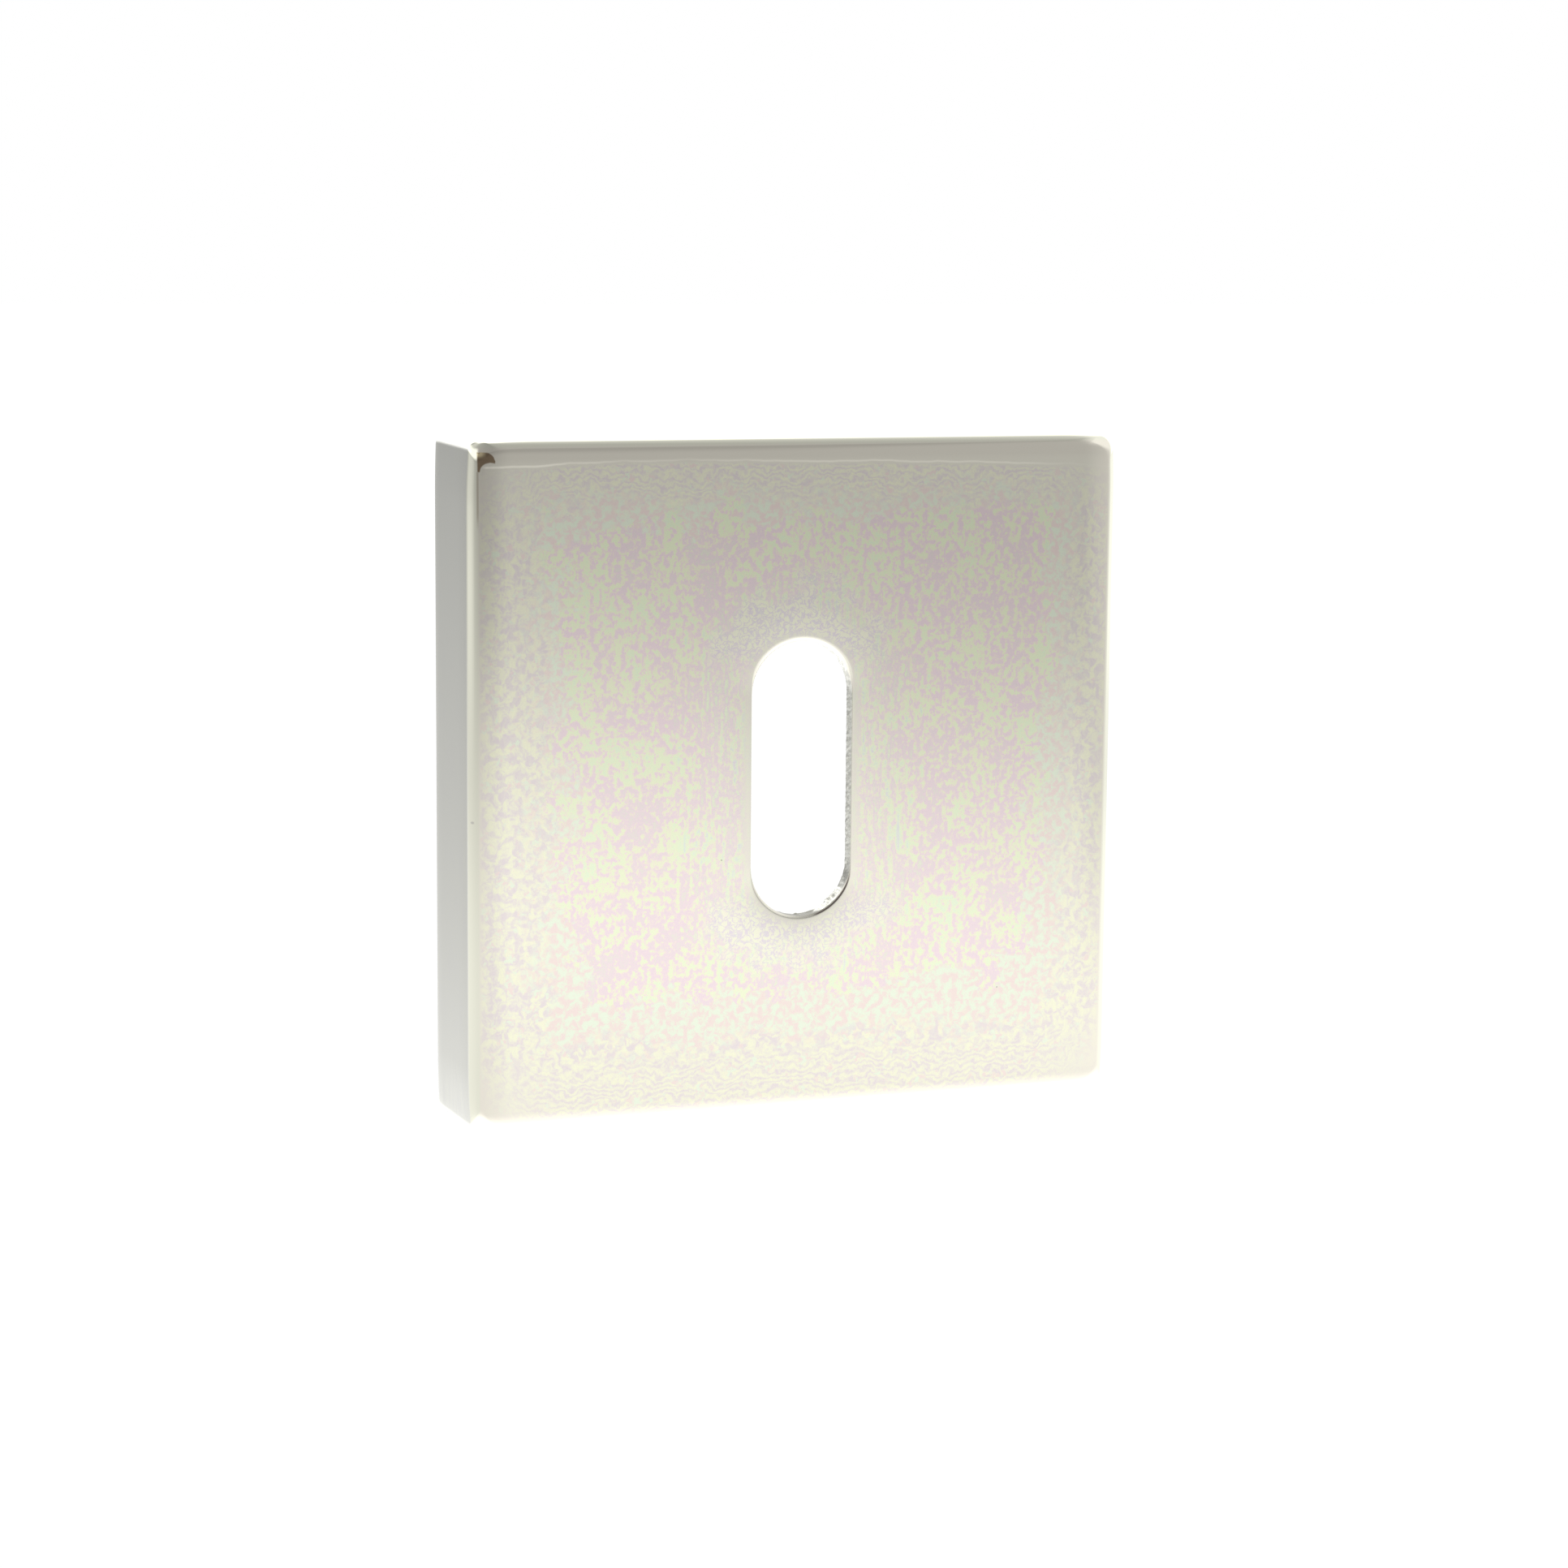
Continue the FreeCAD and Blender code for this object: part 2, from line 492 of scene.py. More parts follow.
def face_rings(lip):
    """From the lip over the face to its rounded edge, from the slot's shape to the square."""
    margin = square_loop(HALF - FACE_MARGIN, corner_of(FACE_MARGIN))
    rings = []
    for share in np.linspace(0, 1, FACE_RINGS)[1:] ** FACE_CROWDING:
        points = lip + (margin - lip) * share
        rings.append(ring(points, FRONT + roll(points)))
    for inset in np.linspace(FACE_MARGIN, EDGE_RADIUS, MARGIN_RINGS)[1:]:
        points = draw_in(square_loop(HALF - inset, corner_of(inset)))
        rings.append(ring(points, FRONT + roll(points)))
    return rings


def side_rings():
    """Over the rounded edge and down the sides to the rim, with the bow that polishing leaves."""
    rolled = HALF - SIDE_ROLL_DEPTH
    rings = []
    for angle in np.linspace(0, math.pi / 2, EDGE_RINGS)[1:]:
        inset = EDGE_RADIUS * (1 - math.sin(angle))
        points = draw_in(square_loop(rolled - inset, corner_of(inset)))
        rings.append(ring(points, FRONT + EDGE_RADIUS * (1 - math.cos(angle)) + roll(points)))
    outline = square_loop(rolled, corner_of(0))
    for share in np.linspace(0, 1, SIDE_RINGS)[1:]:
        points = draw_in(outline, 1 - 0.5 * share)
        start = FRONT + EDGE_RADIUS + roll(points)
        y = start + (-RIM_RADIUS - start) * share
        past = np.minimum(1, (y - start) / SIDE_ROLL_WIDTH)
        short = np.maximum(0, 1 + (y + RIM_RADIUS) / BACK_ROLL_WIDTH)
        bow = SIDE_ROLL_DEPTH * (1 - (1 - past) ** 2) - BACK_ROLL_DEPTH * short ** 2
        rings.append(ring(points * (1 + bow / HALF)[:, None], y))
    return rings


def inside_rings():
    """Round the rim, down the inside of the walls and over the back of the plate to the slot."""
    rings = []
    for angle in np.linspace(0, math.pi / 2, RIM_RINGS)[1:]:
        inset = RIM_RADIUS * (1 - math.cos(angle))
        points = draw_in(square_loop(HALF - BACK_ROLL_DEPTH - inset, corner_of(0) - inset), 0.5)
        rings.append(ring(points, -RIM_RADIUS * (1 - math.sin(angle))))
    inner = HALF - WALL_THICKNESS
    for angle in np.linspace(math.pi / 2, 0, RIM_RINGS):
        inset = RIM_RADIUS * (1 - math.cos(angle))
        points = square_loop(inner + inset, INNER_RADIUS + inset)
        rings.append(ring(points, -RIM_RADIUS * (1 - math.sin(angle))))
    for share in np.linspace(0, 1, INSIDE_RINGS)[1:]:
        y = -RIM_RADIUS + (PLATE_BACK + INNER_RADIUS + RIM_RADIUS) * share
        rings.append(ring(square_loop(inner, INNER_RADIUS), y))
    for angle in np.linspace(0, math.pi / 2, INNER_CORNER_RINGS)[1:]:
        inset = INNER_RADIUS * (1 - math.cos(angle))
        y = PLATE_BACK + INNER_RADIUS * (1 - math.sin(angle))
        rings.append(ring(square_loop(inner - inset, INNER_RADIUS), y))
    seat = square_loop(inner - INNER_RADIUS, INNER_RADIUS)
    far, near = BACK_SPREADS
    for share in np.linspace(0, 1, BACK_RINGS)[1:-1]:
        rings.append(ring(seat + (slot_loop(far) - seat) * share, PLATE_BACK))
    rings.append(ring(slot_loop(near), PLATE_BACK))
    return rings


def wall_rings(slot, outwards, front_depth):
    """Along the slot's torn wall from the back of the plate, where it is roughest, to the lip."""
    rings = []
    for share in WALL_SHARES:
        y = PLATE_BACK + (front_depth - PLATE_BACK) * share
        torn = 1 - share ** 2
        points = slot - outwards * (tears(slot, y) * torn)[:, None]
        rings.append(ring(points, y))
    return rings


def cover_rings():
    """All rings of the cover, each as (finish of the strip that follows it, ring)."""
    slot = slot_loop(0)
    outwards = from_slot(slot)
    lip, first = lip_rings(slot, outwards)
    runs = (("polished", first + face_rings(lip) + side_rings()),
            ("inside", inside_rings()),
            ("torn", wall_rings(slot, outwards, first[0][:, 1])))
    return [(finish, points) for finish, rings in runs for points in rings]


def closed_mesh(name, rings, finishes):
    """Mesh that joins each ring to the next and the last to the first."""
    count = len(rings)
    places = np.concatenate([points for _, points in rings]) * MM
    index = np.arange(count * RING_POINTS).reshape(count, RING_POINTS)
    after = np.roll(index, -1, 0)
    quads = np.stack([after, np.roll(after, -1, 1), np.roll(index, -1, 1), index], 2).reshape(-1, 4)
    mesh = bpy.data.meshes.new(name)
    mesh.from_pydata(places.tolist(), [], quads.tolist())
    mesh.polygons.foreach_set("use_smooth", np.ones(len(quads), bool))
    slots = np.repeat([finishes.index(finish) for finish, _ in rings], RING_POINTS)
    mesh.polygons.foreach_set("material_index", slots.astype(np.int32))
    for edge in mesh.edges:
        if max(edge.vertices) < RING_POINTS:
            edge.use_edge_sharp = True
    mesh.update()
    piece = bpy.data.objects.new(name, mesh)
    bpy.context.scene.collection.objects.link(piece)
    return piece


def film_colour(path):
    """Nickel's colour under a film of this optical path, in nanometres."""
    colour = []
    for base, wave, blur in zip(NICKEL, FILM_WAVES, FILM_BLUR):
        swing = math.cos(2 * math.pi * path / wave + FILM_PHASE)
        fade = math.exp(-(path * blur / wave) ** 2)
        colour.append(base * (1 + FILM_STRENGTH * swing * fade))
    return colour


def distance_from(g, x, z, centre):
    """Distance from a point given as (x, z)."""
    across = g.math("SUBTRACT", x, centre[0])
    upwards = g.math("SUBTRACT", z, centre[1])
    return g.math("SQRT", g.total(g.product(across, across), g.product(upwards, upwards)))


def distance_to_sides(g, x, z):
    """Distance inwards from the cover's sides, measured round its corners."""
    flat = HALF - FILM_CORNER
    out_x = g.math("SUBTRACT", g.absolute(x), flat)
    out_z = g.math("SUBTRACT", g.absolute(z), flat)
    past_x = g.math("MAXIMUM", out_x, 0.0)
    past_z = g.math("MAXIMUM", out_z, 0.0)
    past = g.math("SQRT", g.total(g.product(past_x, past_x), g.product(past_z, past_z)))
    within = g.math("MINIMUM", g.math("MAXIMUM", out_x, out_z), 0.0)
    return g.math("SUBTRACT", FILM_CORNER, g.total(past, within))


def distance_to_slot(g, x, z):
    """Distance outwards from the slot's edge, and the height past its straight sides."""
    height = g.absolute(g.math("ADD", z, SLOT_DROP))
    past_end = g.math("MAXIMUM", g.math("SUBTRACT", height, SLOT_STRAIGHT), 0.0)
    reach = g.math("SQRT", g.total(g.product(x, x), g.product(past_end, past_end)))
    return g.math("SUBTRACT", reach, SLOT_WIDTH / 2), past_end


def thick_film(g, place, side, slot):
    """Green and magenta patches, drawn out into upright streaks beside the slot."""
    base = g.ease(side, 3.0, 9.0, FILM_PATH_EDGE, FILM_PATH_MIDDLE)
    cells = g.noise(g.vector("MULTIPLY", place, (1.0, 1.0, 0.85)), 2.0, 4.0, 0.64)
    regions = g.swing(g.noise(place, 0.32, 2.0, 0.6), 0.31)
    cells = g.ease(g.total(cells, regions), *PATTERN_TURN)
    patches = g.math("MULTIPLY_ADD", cells, 2 * FILM_STEP, -FILM_STEP)
    fine = g.swing(g.noise(place, 5.5, 1.0, 0.5), PATH_FINE)
    drift = g.swing(g.noise(place, 0.2, 2.0, 0.5), PATH_DRIFT)
    streaks = g.noise(g.vector("MULTIPLY", place, (2.6, 1.0, 0.3)), 1.0, 2.0, 0.5)
    streaks = g.product(g.swing(streaks, PATH_STREAKS), g.ease(slot, *STREAK_ZONE, 0.8, 0.0))
    path = g.math("ADD", base, g.total(patches, fine, drift, streaks))
    shares = [stop / (FILM_STOPS - 1) for stop in range(FILM_STOPS)]
    stops = [(share, film_colour(share * FILM_PATH_MOST)) for share in shares]
    return g.ramp(g.math("DIVIDE", path, FILM_PATH_MOST), stops)


def edge_film(g, x, z, place, side):
    """Blobs near the cover's edges, with fringes that run along its upper and lower edge."""
    wave = g.noise(g.vector("MULTIPLY", place, (0.55, 1.0, 0.5)), 1.0, 4.0, 0.6)
    turns = g.math("DIVIDE", g.total(side, g.swing(wave, FRINGE_WANDER)), FRINGE_PITCH)
    fringes = g.math("MULTIPLY_ADD", g.math("SINE", g.product(turns, 2 * math.pi)), 0.5, 0.5)
    upper_or_lower = g.math("SUBTRACT", g.absolute(z), g.absolute(x))
    rows = g.product(g.ease(side, *FRINGE_ZONE, 0.7, 0.0),
                     g.ease(upper_or_lower, -3.0, 3.0, 0.3, 1.0))
    blobs = g.ease(g.noise(place, 1.4, 3.0, 0.6, Distortion=0.5), *PATTERN_TURN)
    return g.ramp(g.blend(rows, blobs, fringes), EDGE_CURLS)


def teal_film(g, place):
    """Fine specks between the edges and the middle."""
    specks = g.ease(g.noise(place, 1.7, 3.0, 0.6, Distortion=0.4), *PATTERN_TURN)
    return g.ramp(specks, TEAL_CURLS)


def slot_film(g, place):
    """Curled lines at the slot's ends."""
    curls = g.noise(place, 2.1, 2.5, 0.55, Distortion=0.6)
    curls = g.ease(g.absolute(g.math("SUBTRACT", curls, 0.5)), 0.0, 0.12)
    return g.ramp(curls, SLOT_CURLS)


def film_over_face(g, x, z, place, side, slot, past_end):
    """Colour of the film: each thinner kind covers the thick one in a zone with a ragged border.
    The zones reach further in at the left and, most of all, towards the lower edge."""
    ragged = g.swing(g.noise(place, 0.45, 4.0, 0.65), EDGE_RAGGED)
    further = g.total(g.ease(z, *FURTHER_LOW, 0.0), g.ease(x, *FURTHER_LEFT, 0.0))
    inwards = g.math("SUBTRACT", side, further)
    near_edge = g.ease(g.total(inwards, ragged), *EDGE_ZONE, 1.0, 0.0)
    near_edge = g.product(near_edge, g.ease(g.noise(place, 0.9, 4.0, 0.6), 0.38, 0.44))
    teal_ragged = g.swing(g.noise(place, 0.35, 4.0, 0.65), TEAL_RAGGED)
    deeper = g.math("SUBTRACT", inwards, g.ease(z, *TEAL_FURTHER_LOW, 0.0))
    teal = g.ease(g.total(deeper, teal_ragged), *TEAL_ZONE, 1.0, 0.0)
    near_slot = g.product(g.ease(g.total(slot, ragged), *SLOT_ZONE, 1.0, 0.0),
                          g.ease(past_end, 1.5, 4.2, 0.2, 0.9))

    film = g.mix(teal, thick_film(g, place, side, slot), teal_film(g, place))
    film = g.mix(near_edge, film, edge_film(g, x, z, place, side))
    return g.mix(near_slot, film, slot_film(g, place))


def film_share(g, x, z, edge, side, slot, above):
    """How far the film covers the nickel: not on the rounded edge or above the wavy line, and
    weaker towards the sides, the lip and the corners."""
    corner = distance_from(g, g.absolute(x), g.absolute(z), (HALF, HALF))
    return g.product(g.ease(edge, 0.7, 1.0), g.ease(side, -0.6, 2.2, 0.15, 1.0),
                     g.ease(slot, 0.25, 1.1, 0.2, 1.0), g.ease(corner, 3.0, 9.0, 0.45, 1.0),
                     g.ease(above, -0.45, -0.10, 1.0, 0.0))


def tide_height(g, x, place):
    """Height of the wavy line where the film ends below the polished upper margin."""
    wave = g.noise(g.vector("MULTIPLY", place, (1.0, 0.0, 0.0)), 0.25, 3.0, 0.5)
    hump = g.math("SUBTRACT", g.ease(x, -26.0, -14.0, -0.17, 0.18), g.ease(x, -8.0, 1.0, 0.0, 0.18))
    wave = g.math("MULTIPLY_ADD", hump, 2.0, wave)
    right = g.math("MAXIMUM", g.math("ADD", x, 4.0), 0.0)
    bow = g.math("MULTIPLY_ADD", g.product(right, right), TIDE_BOW, TIDE_HEIGHT)
    return g.math("MULTIPLY_ADD", wave, 0.5, bow)


def bare_nickel(g, edge):
    """Nickel's own colour: a little warmer on the margin, a little greener on the rounded edge."""
    margin = g.mix(g.ease(edge, 0.6, 0.9), NICKEL_EDGE, NICKEL_MARGIN)
    return g.mix(g.ease(edge, 1.0, 3.0), margin, NICKEL)


def corner_painted_reflection(g, x, z, place):
    """Painted reflection of a dark brown thing in the upper left corner, a quarter ring with a thin
    line below it, and a painted tan highlight.
    """
    ragged = g.swing(g.noise(place, 3.0, 2.0, 0.5), 0.12)
    past_x = g.math("MAXIMUM", g.math("SUBTRACT", x, PAINTED_REFLECTION_BEND[0]), 0.0)
    past_z = g.math("MAXIMUM", g.math("SUBTRACT", z, PAINTED_REFLECTION_BEND[1]), 0.0)
    outer = g.math("MULTIPLY_ADD", past_x, past_x, g.product(past_z, past_z))
    outer = g.total(g.math("SQRT", outer), ragged)
    inner = g.total(distance_from(g, x, z, PAINTED_REFLECTION_HOLLOW), ragged)
    left, low = PAINTED_REFLECTION_START
    mask = g.product(g.ease(outer, PAINTED_REFLECTION_REACH - 0.07, PAINTED_REFLECTION_REACH + 0.03, 1.0, 0.0),
                     g.ease(inner, PAINTED_REFLECTION_HOLLOW_RADIUS - 0.05, PAINTED_REFLECTION_HOLLOW_RADIUS + 0.05))
    mask = g.product(mask, g.ease(x, left - 0.06, left + 0.04), g.ease(z, low - 0.08, low + 0.02))
    line = g.ease(g.absolute(g.math("SUBTRACT", x, left)), 0.03, 0.12, 0.45, 0.0)
    line = g.product(line, g.ease(z, *PAINTED_REFLECTION_LINE_FOOT), g.ease(z, low - 0.1, low + 0.1, 1.0, 0.0))
    # Painted highlight: tan at the upper left of the painted reflection
    painted_highlight = g.product(g.ease(x, -26.1, -25.5, 1.0, 0.0), g.ease(z, 25.35, 25.8))
    painted_highlight = g.product(painted_highlight, g.ease(g.noise(place, 2.2, 2.0, 0.5), 0.42, 0.58, 0.3, 1.0))
    return g.math("MAXIMUM", mask, line), g.mix(painted_highlight, PAINTED_REFLECTION_DARK, PAINTED_HIGHLIGHT_TAN)


def marks_and_painted_reflection(g, colour, x, z, place, slot, face):
    """Painted reflection and highlight in the upper left corner, grime in the lip and small marks
    over the colour of the face.
    """
    painted_reflection, painted_reflection_colour = corner_painted_reflection(g, x, z, place)
    # Painted reflection and highlight in the upper left corner, multiplied into the face's colour
    colour = g.mix(g.product(painted_reflection, face), colour, painted_reflection_colour, blend="MULTIPLY")
    grime = g.product(g.ease(slot, 0.05, 0.10), g.ease(slot, 0.15, 0.23, 1.0, 0.0),
                      g.ease(x, 0.9, 1.6), g.ease(z, -9.0, -7.4, 1.0, 0.0))
    colour = g.mix(g.product(grime, face), colour, GRIME)
    for centre, radius, tone in MARKS:
        spot = g.ease(distance_from(g, x, z, centre), 0.4 * radius, radius, 0.8, 0.0)
        colour = g.mix(g.product(spot, face), colour, tone)
    return colour


def polished_nickel():
    """Nickel plate outside: mirror-like face with the film, satin sides with upright streaks."""
    material, g = new_material("nickel_polished")
    place = g.place()
    x, y, z = g.split(place)
    facing = g.math("MULTIPLY", g.split(g.normal())[1], -1.0)
    face = g.ease(facing, 0.12, 0.3)
    satin = g.math("SUBTRACT", 1.0, face)
    side = distance_to_sides(g, x, z)
    slot, past_end = distance_to_slot(g, x, z)
    edge = g.math("SUBTRACT", HALF, g.math("MAXIMUM", g.absolute(x), g.absolute(z)))
    above = g.math("SUBTRACT", z, tide_height(g, x, place))

    plain = g.mix(face, NICKEL_SIDE, bare_nickel(g, edge))
    film = film_over_face(g, x, z, place, side, slot, past_end)
    share = g.product(film_share(g, x, z, edge, side, slot, above), face)
    colour = marks_and_painted_reflection(g, g.mix(share, plain, film), x, z, place, slot, face)
    upright = g.noise(g.vector("MULTIPLY", place, (6.0, 6.0, 0.25)), 1.0, 3.0, 0.6)
    streaks = g.product(satin, g.ease(upright, 0.45, 0.7, 0.0, 0.25))
    colour = g.mix(streaks, colour, SIDE_STREAK)

    fine = g.noise(place, 14.0, 2.0, 0.6)
    rough = g.math("MULTIPLY_ADD", fine, 0.04, ROUGH_FACE)
    rough = g.total(rough, g.product(satin, g.math("MULTIPLY_ADD", upright, 0.10, ROUGH_SIDE)))
    lip = g.product(g.ease(slot, 0.5, 0.7, 1.0, 0.0), g.ease(y, FRONT + 0.02, FRONT + 0.06))
    rough = g.math("MULTIPLY_ADD", lip, ROUGH_LIP, rough)
    ridge = g.product(g.ease(above, -0.13, 0.11), g.ease(x, -26.1, -25.7),
                      g.ease(x, 17.0, 25.0, 1.0, 0.35))
    brushed = g.bump(g.product(satin, upright), 0.12, 0.02)
    metal(g, colour, rough, g.bump(ridge, 1.0, TIDE_STEP, Normal=brushed))
    return material


def inside_nickel(cloudy):
    """Thin, dull plating on the inside of the cover."""
    material, g = new_material("nickel_inside")
    clouds, grain = g.add("Group", {"Place": g.place(), "Cloud Scale": 0.35, "Cloud Detail": 4.0,
                                    "Cloud Roughness": 0.6, "Grain Scale": 6.0,
                                    "Grain Detail": 3.0}, node_tree=cloudy).outputs
    colour = g.mix(g.ease(clouds, 0.35, 0.7), INSIDE_DULL, INSIDE_CLEAR)
    metal(g, colour, g.math("MULTIPLY_ADD", grain, 0.2, 0.28), g.bump(grain, 0.2, 0.03))
    return material


def torn_nickel():
    """Sheared wall of the slot, plated over its furrows, with painted shade where it faces upwards,
    towards the slot's lower end.
    """
    material, g = new_material("nickel_torn")
    x, y, z = g.split(g.place())
    slant = g.join(x, g.math("MULTIPLY", y, 0.4), g.math("MULTIPLY_ADD", y, 0.3, z))
    furrows = g.noise(slant, 4.2, 2.0, 0.55)
    colour = g.mix(g.ease(furrows, 0.35, 0.65), TORN_FURROW, TORN_RIDGE)
    upwards = g.split(g.normal())[2]
    # Painted shade: where the wall faces upwards it is darkened, most at its lowest part, standing
    # in for the dim room it mirrors
    painted_shade = g.product(g.ease(upwards, 0.12, 0.32, 0.0, 0.6), g.ease(upwards, 0.50, 0.58, 1.0, 0.0))
    colour = g.mix(painted_shade, colour, TORN_PAINTED_SHADE)
    colour = g.mix(g.ease(upwards, 0.88, 0.96), colour, TORN_LOWEST_PAINTED_SHADE)
    metal(g, colour, 0.35, g.bump(furrows, 0.4, 0.03))
    return material


def nylon(cloudy):
    """Natural nylon: milky, satin, with faint flow marks from the mould."""
    material, g = new_material("nylon")
    flow, grain = g.add("Group", {"Place": g.place(), "Cloud Scale": 0.12, "Cloud Detail": 3.0,
                                  "Cloud Roughness": 0.55, "Cloud Bend": 1.5, "Grain Scale": 9.0,
                                  "Grain Detail": 2.0}, node_tree=cloudy).outputs
    colour = g.mix(g.ease(flow, 0.3, 0.7), NYLON, NYLON_FLOW)
    rough = g.math("MULTIPLY_ADD", flow, 0.15, 0.38)
    shader = g.add("BsdfPrincipled", {"Base Color": colour, "Roughness": rough,
                                      "Normal": g.bump(grain, 0.25, 0.03),
                                      "Subsurface Weight": 0.15, "Subsurface Scale": 0.0015,
                                      "Subsurface Radius": (1.0, 0.9, 0.75)})
    g.add("OutputMaterial", {0: shader.outputs[0]})
    return material


def build_cover(cloudy):
    """Worn cover in place of the CAD's sharp one."""
    finishes = ["polished", "inside", "torn"]
    piece = closed_mesh("cover_plate", cover_rings(), finishes)
    for material in (polished_nickel(), inside_nickel(cloudy), torn_nickel()):
        piece.data.materials.append(material)
    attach(piece, "root")
    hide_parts("cover")


def dress_base(cloudy):
    """The CAD's fixing base in nylon, with its edges softened."""
    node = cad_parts["fixing_base"]
    node.data.materials.clear()
    node.data.materials.append(nylon(cloudy))
    soften = node.modifiers.new("softened edges", "BEVEL")
    soften.width = BASE_SOFTENING * MM
    soften.segments = 2
    soften.limit_method = "ANGLE"
    soften.angle_limit = math.radians(40)


def by_azimuth(g, azimuth, stops):
    """Level read from stops given as (degrees to the right of straight ahead, level)."""
    most = 2.5
    share = g.math("MULTIPLY_ADD", azimuth, 0.5 / math.pi, 0.5)
    marks = [((degrees + 180) / 360, level / most) for degrees, level in stops]
    return g.product(g.level(share, marks), most)


def by_fall(g, fall, stops):
    """Level read from stops given as (degrees below the horizon, level)."""
    steepest = math.sin(math.radians(30))
    marks = [(math.sin(math.radians(degrees)) / steepest, level) for degrees, level in stops]
    return g.level(g.math("DIVIDE", fall, steepest), marks)


def mirrored_table(g, x, y, fall, azimuth, far):
    """Brightness of the pale table that the metal mirrors below the horizon, brightest close by.
    The fall is the sine of the angle below the horizon."""
    middle = by_azimuth(g, azimuth, (
        (-180, 1.0), (-114, 0.875), (-81, 0.83), (-52, 0.786), (-24, 0.774), (3, 0.82),
        (8, 0.89), (11, 0.95), (15, 1.0), (22, 1.0), (27, 1.025), (35, 0.96), (45, 0.98),
        (64, 1.15), (80, 1.3)))
    near = by_azimuth(g, azimuth, (
        (-180, 1.0), (-114, 0.94), (-81, 0.92), (-52, 0.89), (-24, 0.87), (3, 0.89), (8, 0.92),
        (11, 0.945), (15, 0.98), (17, 1.0), (45, 1.02), (64, 1.1), (80, 1.15)))
    share = g.blend(g.ease(fall, 0.08, 0.15), far, middle)
    share = g.blend(g.ease(fall, 0.15, 0.215), share, near)
    share = g.blend(g.ease(fall, 0.26, 0.50), share, 1.35)
    lag = g.ease(x, 0.28, 0.46, 0.0, 0.019)
    ahead = by_fall(g, g.math("SUBTRACT", fall, lag), (
        (0.0, 0.43), (3.5, 0.455), (4.5, 0.50), (5.0, 0.53), (6.0, 0.60), (6.8, 0.68), (7.9, 0.80),
        (9.1, 0.91), (10.2, 0.975), (11.3, 0.985), (13.0, 0.96), (16.0, 0.97), (24.0, 1.0),
        (30.0, 1.0)))
    behind = by_fall(g, fall, (
        (0.0, 0.43), (3.6, 0.435), (4.8, 0.465), (6.7, 0.54), (8.0, 0.56), (9.4, 0.60),
        (10.7, 0.66), (12.0, 0.73), (13.3, 0.87), (14.5, 0.95), (20.0, 1.0), (30.0, 1.0)))
    behind = g.product(behind, g.ease(x, -0.26, -0.12, 0.97, 1.25),
                       g.ease(x, -0.32, -0.285, 0.88, 1.0))
    return g.blend(g.ease(y, 0.80, 0.925), g.product(ahead, share), behind)


def mirrored_room(g, x, y, z, far):
    """Brightness of what the metal mirrors above the horizon: a dim room in front with a darker
    band, soft light at both sides, and a white backdrop behind and overhead."""
    dark_height = g.total(g.ease(x, 0.34, 0.47, 0.19, 0.42), g.ease(x, 0.40, 0.46, 0.0, 0.3))
    dark = g.ease(g.absolute(g.math("SUBTRACT", z, dark_height)), 0.02, 0.13, 0.82, 1.0)
    room = g.product(far, 0.43, dark)
    right_light = g.product(g.ease(x, 0.42, 0.58), g.ease(z, 0.08, 0.25))
    room = g.blend(right_light, room, 0.95)
    leftward = g.product(x, -1.0)
    left_light = g.product(g.ease(leftward, 0.4, 0.6), g.ease(z, 0.1, 0.3),
                           g.ease(z, 0.62, 0.78, 1.0, 0.0))
    room = g.blend(left_light, room, 1.15)
    behind = g.ease(y, -0.14, 0.06)
    overhead = g.ease(g.math("MULTIPLY_ADD", x, 0.35, z), -0.06, 0.12)
    dim_corner = g.product(g.ease(leftward, 0.22, 0.4), g.ease(z, 0.42, 0.6))
    return g.blend(g.product(behind, overhead, g.math("SUBTRACT", 1.0, dim_corner)), room, 1.4)


def mirrored_studio(g, towards):
    """Brightness of the studio that the metal mirrors, by direction."""
    x, y, z = g.split(towards)
    azimuth = g.math("ARCTAN2", x, g.product(y, -1.0))
    far = by_azimuth(g, azimuth, (
        (-180, 1.0), (-150, 0.87), (-140, 0.95), (-128, 1.3), (-114, 1.52), (-85, 1.50),
        (-66, 1.28), (-52, 1.02), (-38, 0.90), (-24, 0.84), (-8, 0.76), (3, 0.73), (8, 0.80),
        (11, 0.89), (15, 0.985), (17, 1.015), (27, 1.05), (35, 1.22), (45, 1.35), (64, 1.7),
        (80, 2.4)))
    table = mirrored_table(g, x, y, g.product(z, -1.0), azimuth, far)
    return g.blend(g.ease(z, -0.01, 0.01), table, mirrored_room(g, x, y, z, far))


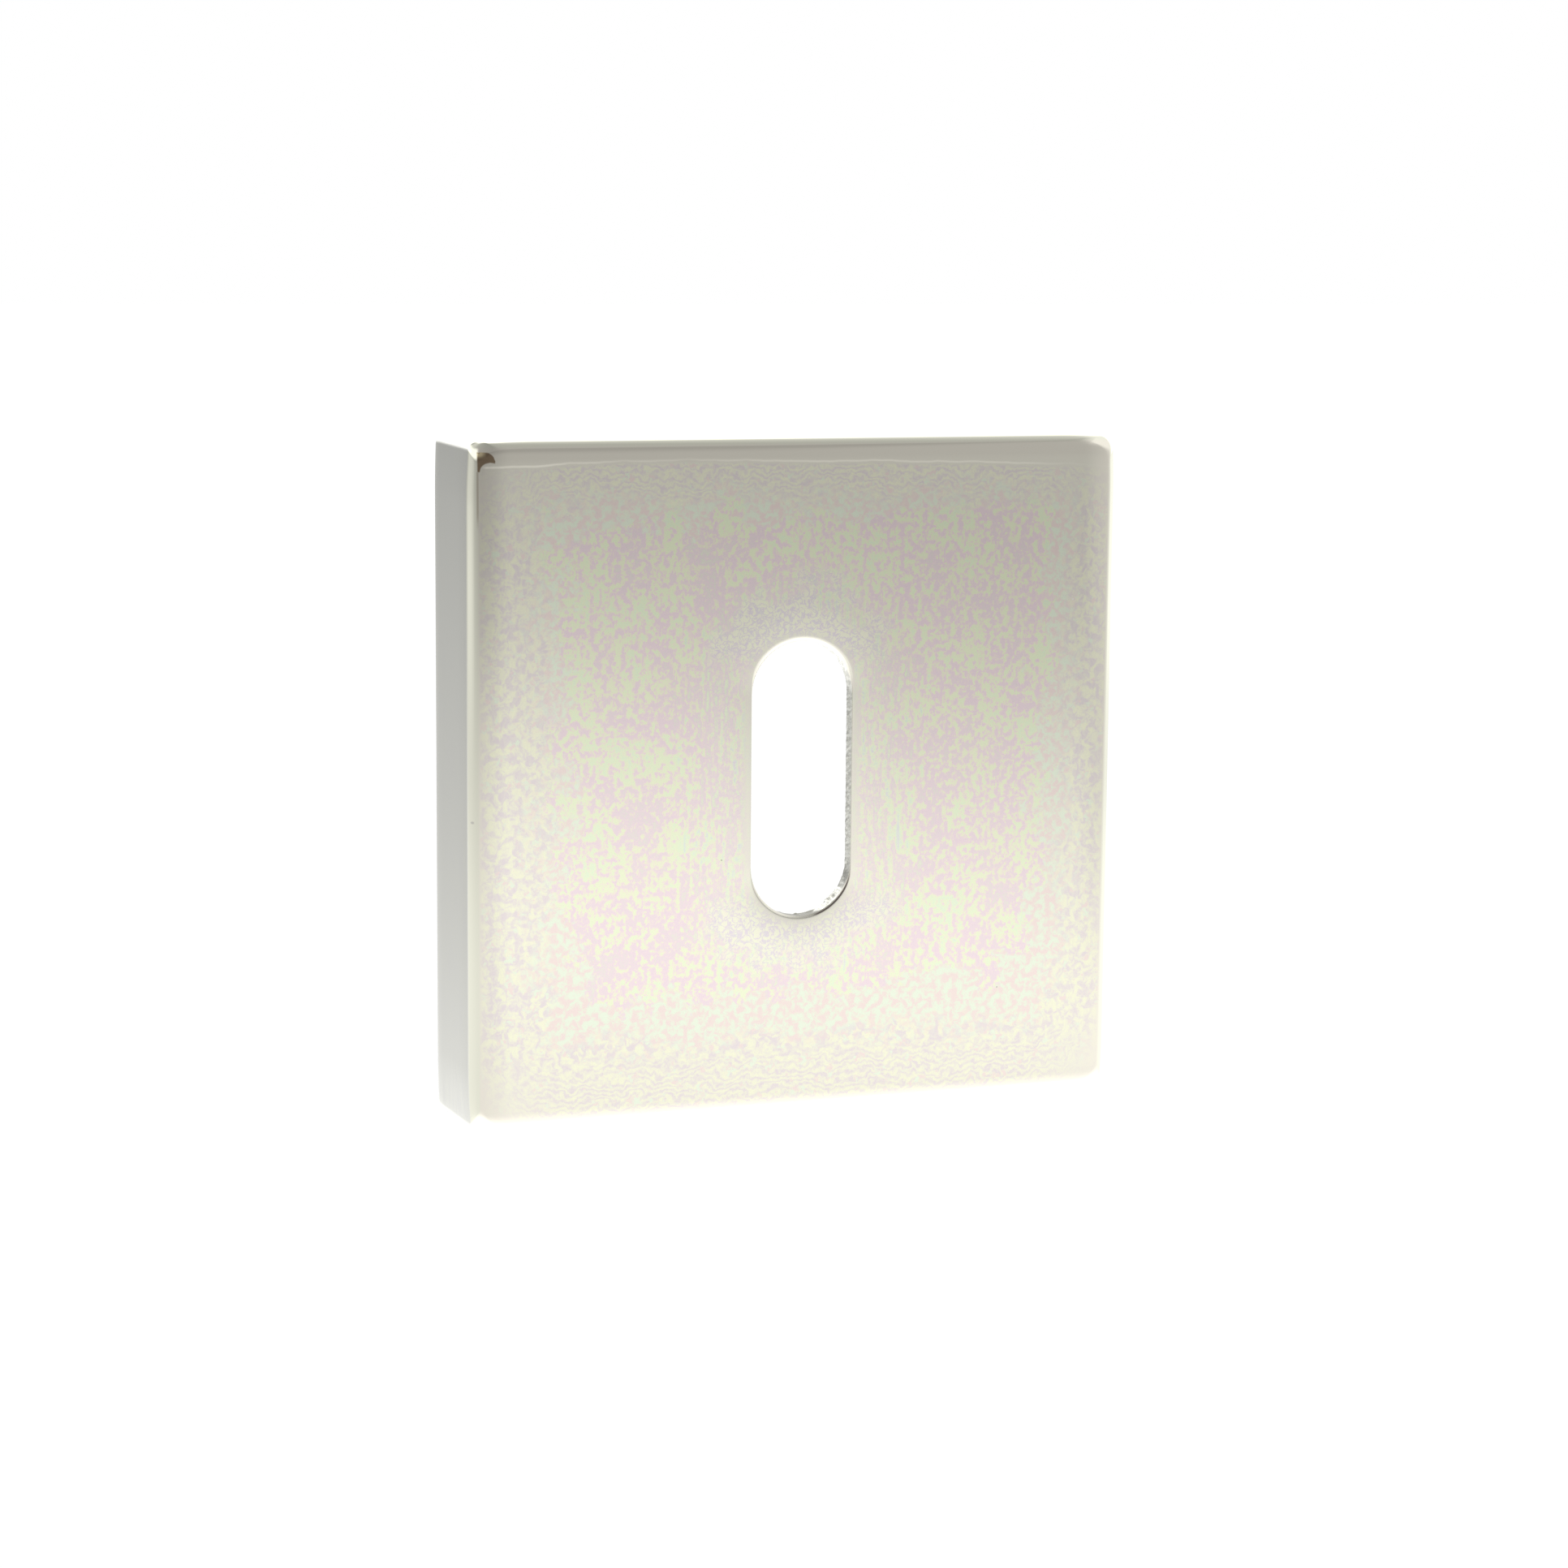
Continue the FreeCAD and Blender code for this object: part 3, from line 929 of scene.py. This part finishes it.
def studio_world():
    """White for the camera, an even light for matt surfaces, the mirrored studio for metal."""
    world = bpy.data.worlds.new("studio")
    world.use_nodes = True
    bpy.context.scene.world = world
    g = Graph(world.node_tree)
    brightness = mirrored_studio(g, g.add("TexCoord").outputs["Generated"])
    seen = g.add("Background", {"Color": (1, 1, 1, 1), "Strength": 1.0})
    even = g.add("Background", {"Color": (1, 1, 1, 1), "Strength": 0.8})
    mirrored = g.add("Background", {"Color": (1, 1, 1, 1), "Strength": brightness})
    path = g.add("LightPath")
    first = g.shades(path.outputs["Is Glossy Ray"], even, mirrored)
    last = g.shades(path.outputs["Is Camera Ray"], first, seen)
    g.add("OutputWorld", {0: last.outputs[0]})


def floor():
    """Pale table under the part, white to the camera apart from the part's faint shadow."""
    size = 3.0
    z = COVER_LOW.z
    corners = [(-size, -size, z), (size, -size, z), (size, size, z), (-size, size, z)]
    mesh = bpy.data.meshes.new("floor")
    mesh.from_pydata(corners, [], [(0, 1, 2, 3)])
    piece = bpy.data.objects.new("floor", mesh)
    bpy.context.scene.collection.objects.link(piece)
    material, g = new_material("floor")
    matt = g.add("BsdfDiffuse", {"Color": (0.9, 0.9, 0.9, 1)})
    seen_matt = g.add("BsdfDiffuse", {"Color": (0.12, 0.12, 0.12, 1)})
    glow = g.add("Emission", {"Color": (1, 1, 1, 1), "Strength": 0.92})
    seen = g.add("AddShader", {0: seen_matt.outputs[0], 1: glow.outputs[0]})
    last = g.shades(g.add("LightPath").outputs["Is Camera Ray"], matt, seen)
    g.add("OutputMaterial", {0: last.outputs[0]})
    mesh.materials.append(material)
    piece.visible_glossy = False


def lamp(name, place, size, power):
    """Square soft lamp aimed at the part."""
    data = bpy.data.lights.new(name, "AREA")
    data.size = size
    data.energy = power
    seat = bpy.data.objects.new(name, data)
    seat.location = place
    seat.rotation_euler = (-Vector(place)).to_track_quat("-Z", "Y").to_euler()
    seat.visible_glossy = False
    bpy.context.scene.collection.objects.link(seat)


bpy.context.scene.view_settings.view_transform = "Standard"
camera()
studio_world()
floor()
lamp("key", (-0.35, -0.45, 0.6), 0.5, 1.2)
lamp("back_fill", (0.4, 0.5, 0.5), 0.5, 0.8)
shared_grain = cloudy_grain()
build_cover(shared_grain)
dress_base(shared_grain)
